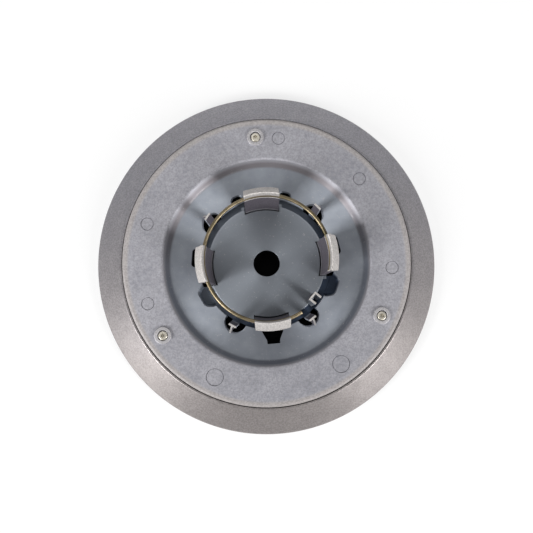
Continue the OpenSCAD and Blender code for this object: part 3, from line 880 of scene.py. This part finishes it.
def screw_bores(plate, screw):
    """Cutters of the stepped holes for the screws, with a bevelled mouth."""
    shank_r, head_r = screw.thread_r + screw.clearance, screw.head_r + screw.clearance
    mouth, top = plate.boss_top - 0.2, plate.boss_top + 0.1
    bore = [(0, 0), (shank_r, 0), (shank_r, screw.head_z), (head_r, screw.head_z), (head_r, mouth),
            (head_r + 0.3, top), (0, top)]
    return repeated(lathe(bore, steps=64, closed=False), SCREW_ANGLES, screw.circle_r)


def t_post_holes(plate):
    """Cutters of the round holes behind the T posts, which open a little at the floor."""
    radius, edge_z = plate.t_hole_radius, plate.disc_z + 0.15
    flare, over = 0.55, 0.6
    hole = [(0, 0), (radius, 0), (radius, edge_z - flare), (radius + flare * 0.35, edge_z - flare * 0.35),
            (radius + flare, edge_z), (radius + flare + over, edge_z + over), (0, edge_z + over)]
    return repeated(lathe(hole, steps=64, closed=False), T_POST_ANGLES, plate.channel_r)


def windows(plate, clips):
    """Cutters of the windows beside the top tab and behind the side tabs, and of the notch."""
    def corner_y(radius, width):
        """How far out a window's corners are, where its end is as long as the circle allows."""
        return math.sqrt(radius ** 2 - width ** 2 / 4)

    window_r = plate.window_diameter / 2
    half, inner = plate.small_window / 2, plate.channel_r + 0.9
    out = corner_y(window_r - 0.5, plate.small_window)
    outer_round, inner_round = 2.2, 0.9
    small = mirrored([(half, out, outer_round), (half, inner, inner_round)])
    levels = ((0, 0.8), (plate.disc_z - 1.5, 0.82), (plate.disc_z - 0.4, 0.96), (plate.disc_z + 0.05, 1.02),
              (plate.disc_z + 0.9, 1.15))
    cutters = repeated(loft(small, levels, (0, (inner + out) / 2)), SMALL_WINDOW_ANGLES)
    half, out, side_round = plate.side_window / 2, corner_y(window_r, plate.side_window), 1.6
    side = mirrored([(half, out, side_round), (half, plate.disc_r, 0)])
    cutters += repeated(prism(side, 0, clips.tip_z), SIDE_WINDOW_ANGLES)
    # The notch widens in a soft bend where it comes to the opening behind the lower tab.
    half, out, end_round, bend = plate.notch / 2, plate.notch_diameter / 2, 0.3, 2
    notch = mirrored([(half, out, end_round), (half + 0.15, out - 2, bend),
                      (half + 1.9, clips.hook_r + 0.6, bend), (half + 3, plate.disc_r + OVER, 0)])
    return cutters + [turned(prism(notch, 0, clips.tip_z), NOTCH_ANGLE)]


def tab_outline(plate, clips):
    """A clip tab's section: shank, wire groove, tip, lead-in, hook and latch face."""
    # The groove holds the wire round this many degrees, either way from outwards.
    grip = 112
    groove = clips.wire / 2 + clips.wire_clear
    groove_in = clips.ring_r + groove * math.cos(math.radians(grip))
    neck_r, neck_z = clips.neck_diameter / 2, clips.wire_z - groove - 0.25
    tip_z, hook_r, hook_z = clips.tip_z, clips.hook_r, clips.hook_z
    latch_z = hook_z - clips.latch
    climb = (latch_z - plate.channel_z) / (neck_z - plate.channel_z)
    latch_r = clips.foot_out + (neck_r - clips.foot_r) * climb
    return [(clips.foot_r, plate.root_z), (clips.foot_r, plate.channel_z), (neck_r, neck_z),
            *arc(clips.ring_r, clips.wire_z, groove, -grip, grip, 14),
            (groove_in, tip_z - 1.4), (groove_in + 0.4, tip_z - 0.3), (groove_in + 0.8, tip_z),
            (groove_in + 1.3, tip_z - 0.3), (hook_r - 0.3, hook_z + 0.5), (hook_r, hook_z),
            (hook_r - 0.1, hook_z - 0.4), (latch_r, latch_z), (clips.foot_out, plate.channel_z),
            (clips.foot_out, plate.root_z)]


def clip_tab(plate, clips):
    """A clip tab, with its side edges rounded above the channel."""
    half = clips.tab_width / 2
    tab = trimmed(lathe(tab_outline(plate, clips), steps=30, sweep=50), half)
    return softened(tab, 0.15, 60, lambda at: at.z > plate.channel_z + 1 and abs(at.x) > half - NUDGE)


def t_post(plate, clips):
    """A T post: a flat head that leans outwards from the channel's edge, and a gusset to the floor."""
    wall, disc_z = clips.post, plate.disc_z
    head_r, root_r = clips.t_post_diameter / 2, plate.channel_r - 0.6
    foot_r, stem_r = head_r - clips.t_lean, head_r + clips.t_stem
    top = disc_z + clips.t_post_height
    head = upright([(root_r, plate.root_z), (root_r + wall + 0.4, plate.root_z), (foot_r + wall, disc_z),
                    (head_r + wall, top), (head_r, top), (foot_r, disc_z)], clips.t_head)
    stem = upright([(root_r + wall / 2, plate.channel_z), (stem_r, disc_z - plate.web / 2),
                    (stem_r, disc_z + 1), (head_r + wall, top), (head_r + wall / 2, top)], wall * 0.98)
    return softened(combined(head, stem, "UNION"), 0.12, 50)


def u_post(plate, clips):
    """The U post, open outwards."""
    half, wall = clips.u_post_width / 2, clips.post
    near = clips.u_post_diameter / 2
    far = near + clips.u_post_length
    outline = mirrored([(half, near, 0), (half, far, 0), (half - wall, far, 0),
                        (half - wall, near + wall, 0)])
    return softened(prism(outline, plate.root_z, plate.disc_z + clips.u_post_height), 0.1, 50)


def build_plate(scene):
    """The back plate: turned body, bosses, slots, pockets, marks, bores, windows, clip tabs and posts."""
    sizes = cap_sizes(scene)
    plate, clips, screw = sizes.plate, sizes.clips, sizes.screw
    # The windows end at the channel, so that its bottom stays whole.
    core = drum(plate.channel_r - 0.2, -OVER, clips.tip_z + OVER, 288)
    openings = combined(together(t_post_holes(plate) + windows(plate, clips)), core, "DIFFERENCE")
    body = lathe(plate_outline(plate))
    body = combined(body, together(tab_pads(plate, clips) + screw_bosses(plate, screw)), "UNION")
    body = combined(body, together(pocket_shells(plate)), "UNION")
    body = combined(body, together(tab_rooms(plate, clips)), "DIFFERENCE")
    holes = pockets(plate) + ejector_marks(plate) + screw_bores(plate, screw)
    body = combined(body, together(holes), "DIFFERENCE")
    body = combined(body, openings, "DIFFERENCE")
    fittings = repeated(clip_tab(plate, clips), TAB_ANGLES) + repeated(t_post(plate, clips), T_POST_ANGLES)
    fittings.append(turned(u_post(plate, clips), U_POST_ANGLE))
    body = combined(body, together(fittings), "UNION")
    bmesh.ops.translate(body, verts=body.verts, vec=(0, PLAY, 0))

    def from_lathe(face, r, z):
        """Whether the turned part of the mould made a face: the bowl within its lip, but not the fittings."""
        # This far above the disc, and higher where the bowl's slope begins to rise.
        highest = plate.disc_z + 0.9 + max(0, r - plate.floor_r + 3.1)
        return r < plate.lip_r - 0.5 and z < min(highest, plate.height - 5 * NUDGE)

    finishes = scene.cap_finishes
    materials = [moulded_plate(finishes, plate, clips), turned_plate(finishes, plate)]
    return finished("plate_moulding", body, materials, pick=from_lathe)


# Wire and screws


def build_wire(scene):
    """The split ring of spring wire, with its two ends cut square and deburred."""
    clips = cap_sizes(scene).clips
    wire = arc(clips.ring_r, clips.wire_z, clips.wire / 2, 0, 345, 23)
    ring = softened(lathe(wire, steps=220, sweep=360 - WIRE_GAP), 0.15, 60)
    ring = turned(ring, WIRE_GAP_ANGLE + 180)
    bmesh.ops.translate(ring, verts=ring.verts, vec=(0, PLAY, 0))
    return finished("spring_ring", ring, [brass_wire(scene.cap_finishes)], sharp=50)


def build_screw(scene, number, metal):
    """One screw: low round head, six-lobed drive, plain shank with a point."""
    screw = cap_sizes(scene).screw
    point_r, point_z = screw.thread * 0.18, screw.end_z + screw.thread * 0.7
    top = screw.head_z + screw.head_height
    section = rounded([
        (0, screw.end_z, 0), (point_r, screw.end_z, 0.1), (screw.thread_r, point_z, 0.3),
        (screw.thread_r, screw.head_z, 0), (screw.head_r, screw.head_z, 0.1),
        (screw.head_r, top, screw.head_height * 0.35), (0, top, 0)], steps=5)
    body = lathe(section, steps=72, closed=False)
    lobe = screw.drive * 0.14
    middle = screw.drive / 2 - lobe
    star = []
    for a in evenly(0, math.tau, 72)[:-1]:
        r = middle + lobe * (0.35 + 0.65 * math.cos(6 * a))
        star.append((r * math.sin(a), r * math.cos(a)))
    body = combined(body, prism(star, top - screw.drive_depth, top + OVER), "DIFFERENCE")
    body = turned(body, SCREW_ANGLES[number - 1], screw.circle_r)
    return finished("screw_%d_bright" % number, body, [metal], sharp=40)


# Stage


def along_photo(x, y, z):
    """A vector from its parts along the photo's right and up directions and away from the table."""
    return Matrix.Rotation(-PHOTO_TURN, 3, "Z") @ Vector((x, y, z))


def aimed(position, target, up):
    """The matrix of a camera or a lamp at a position that looks at a target."""
    ahead = (target - position).normalized()
    right = ahead.cross(up).normalized()
    over = right.cross(ahead)
    turn = Matrix((right, over, -ahead)).transposed().to_4x4()
    return Matrix.Translation(position) @ turn


def place_camera(scene):
    """The camera, above the cap and a little towards the lower edge of the picture."""
    data = bpy.data.cameras.new("camera")
    data.sensor_width = 36
    data.lens = data.sensor_width * FOCAL_PIXELS / PHOTO_PIXELS
    data.shift_y = SHIFT_PIXELS / PHOTO_PIXELS
    data.clip_start, data.clip_end = 0.01, 20
    camera = bpy.data.objects.new("camera", data)
    position, target = along_photo(*CAMERA_PLACE) * MM, along_photo(*CAMERA_TARGET) * MM
    camera.matrix_world = aimed(position, target, along_photo(0, 1, 0))
    scene.collection.objects.link(camera)
    scene.camera = camera


def soft_box(scene, name, degrees, rise, distance, size, watts):
    """A square soft box at an angle in the picture, clockwise from its top edge, aimed at the cap."""
    around, lift = math.radians(degrees), math.radians(rise)
    side = along_photo(math.sin(around), math.cos(around), 0)
    position = (side * math.cos(lift) + Vector((0, 0, math.sin(lift)))) * distance
    data = bpy.data.lights.new(name, "AREA")
    data.shape = "SQUARE"
    data.size = size
    data.energy = watts
    lamp = bpy.data.objects.new(name, data)
    lamp.matrix_world = aimed(position, Vector((0, 0, 0.015)), Vector((0, 0, 1)))
    scene.collection.objects.link(lamp)


def pale_floor(settings):
    """Matt white table paper: it keeps the cap's shadow, and is plain white in the picture."""
    material, tree = new_material("white_table_paper")
    paper = add(tree, "BsdfDiffuse", {"Color": settings.floor, "Roughness": 0.8})
    white = add(tree, "Emission", {"Color": (1, 1, 1, 1), "Strength": 1})
    seen = add(tree, "LightPath", out="Is Camera Ray")
    part = add(tree, "Math", (seen, 0.75), operation="MULTIPLY")
    add(tree, "OutputMaterial", (add(tree, "MixShader", (part, paper, white)),))
    return material


def white_world(settings):
    """Even light from all round, and plain white where the camera looks past the floor."""
    world = bpy.data.worlds.new("studio")
    world.use_nodes = True
    tree = world.node_tree
    tree.nodes.clear()
    light = add(tree, "Background", {"Color": (1, 1, 1, 1), "Strength": settings.fill})
    white = add(tree, "Background", {"Color": (1, 1, 1, 1), "Strength": 1})
    seen = add(tree, "LightPath", out="Is Camera Ray")
    add(tree, "OutputWorld", (add(tree, "MixShader", (seen, light, white)),))
    return world


def build_stage(scene):
    """The floor, the world's light, the soft boxes and the camera."""
    settings = scene.cap_stage
    mesh = bpy.data.meshes.new("floor")
    bm = bmesh.new()
    bmesh.ops.create_grid(bm, x_segments=1, y_segments=1, size=3)
    bm.to_mesh(mesh)
    bm.free()
    mesh.materials.append(pale_floor(settings))
    floor = bpy.data.objects.new("floor", mesh)
    scene.collection.objects.link(floor)
    scene.world = white_world(settings)
    key, far = settings.key_power, settings.far_power
    soft_box(scene, "left_soft_box", degrees=236, rise=31, distance=0.75, size=0.3, watts=key)
    soft_box(scene, "right_soft_box", degrees=127, rise=31, distance=0.75, size=0.3, watts=key * 0.8)
    soft_box(scene, "far_soft_box", degrees=345, rise=52, distance=0.9, size=0.8, watts=far)
    scene.view_settings.view_transform = "Standard"
    place_camera(scene)


# Operators


class CapOperator:
    """What the operators share."""
    bl_options = {"REGISTER", "UNDO"}


class CAP_OT_cover(CapOperator, bpy.types.Operator):
    """Models the painted front cover"""
    bl_idname = "wheel_cap.cover"
    bl_label = "Front cover"

    def execute(self, context):
        piece = build_cover(context.scene)
        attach(piece, "root")
        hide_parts("front_cover")
        return {"FINISHED"}


class CAP_OT_plate(CapOperator, bpy.types.Operator):
    """Models the back plate with its clip tabs, posts and windows"""
    bl_idname = "wheel_cap.plate"
    bl_label = "Back plate"

    def execute(self, context):
        piece = build_plate(context.scene)
        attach(piece, "root")
        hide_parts("back_plate")
        return {"FINISHED"}


class CAP_OT_wire(CapOperator, bpy.types.Operator):
    """Models the split ring of spring wire"""
    bl_idname = "wheel_cap.wire"
    bl_label = "Wire ring"

    def execute(self, context):
        piece = build_wire(context.scene)
        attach(piece, "root")
        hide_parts("wire_ring")
        return {"FINISHED"}


class CAP_OT_screws(CapOperator, bpy.types.Operator):
    """Models the three screws"""
    bl_idname = "wheel_cap.screws"
    bl_label = "Screws"

    def execute(self, context):
        metal = zinc_steel(context.scene.cap_finishes)
        for number in (1, 2, 3):
            piece = build_screw(context.scene, number, metal)
            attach(piece, "root")
            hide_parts("screw_%d" % number)
        return {"FINISHED"}


class CAP_OT_stage(CapOperator, bpy.types.Operator):
    """Sets up the floor, the lamps and the camera"""
    bl_idname = "wheel_cap.stage"
    bl_label = "Stage"

    def execute(self, context):
        build_stage(context.scene)
        return {"FINISHED"}


class CAP_PT_panel(bpy.types.Panel):
    """Lists the pieces and their sizes"""
    bl_label = "Wheel Cap"
    bl_idname = "CAP_PT_panel"
    bl_space_type = "VIEW_3D"
    bl_region_type = "UI"
    bl_category = "Wheel Cap"

    def draw(self, context):
        layout = self.layout
        scene = context.scene
        for operator in OPERATORS:
            layout.operator(operator.bl_idname)
        for group in GROUPS:
            section = layout.box()
            settings = getattr(scene, group)
            for key in settings.__annotations__:
                section.prop(settings, key)


GROUPS = {
    "cap_cover": CoverSizes,
    "cap_plate": PlateSizes,
    "cap_clips": ClipSizes,
    "cap_screws": ScrewSizes,
    "cap_finishes": Finishes,
    "cap_stage": StageSettings,
}
OPERATORS = (CAP_OT_cover, CAP_OT_plate, CAP_OT_wire, CAP_OT_screws, CAP_OT_stage)


def register():
    for name, group in GROUPS.items():
        bpy.utils.register_class(group)
        setattr(bpy.types.Scene, name, bpy.props.PointerProperty(type=group))
    for operator in OPERATORS:
        bpy.utils.register_class(operator)
    bpy.utils.register_class(CAP_PT_panel)


def unregister():
    bpy.utils.unregister_class(CAP_PT_panel)
    for operator in reversed(OPERATORS):
        bpy.utils.unregister_class(operator)
    for name, group in reversed(GROUPS.items()):
        delattr(bpy.types.Scene, name)
        bpy.utils.unregister_class(group)


def main():
    register()
    bpy.ops.wheel_cap.cover()
    bpy.ops.wheel_cap.plate()
    bpy.ops.wheel_cap.wire()
    bpy.ops.wheel_cap.screws()
    bpy.ops.wheel_cap.stage()


if __name__ == "__main__":
    main()
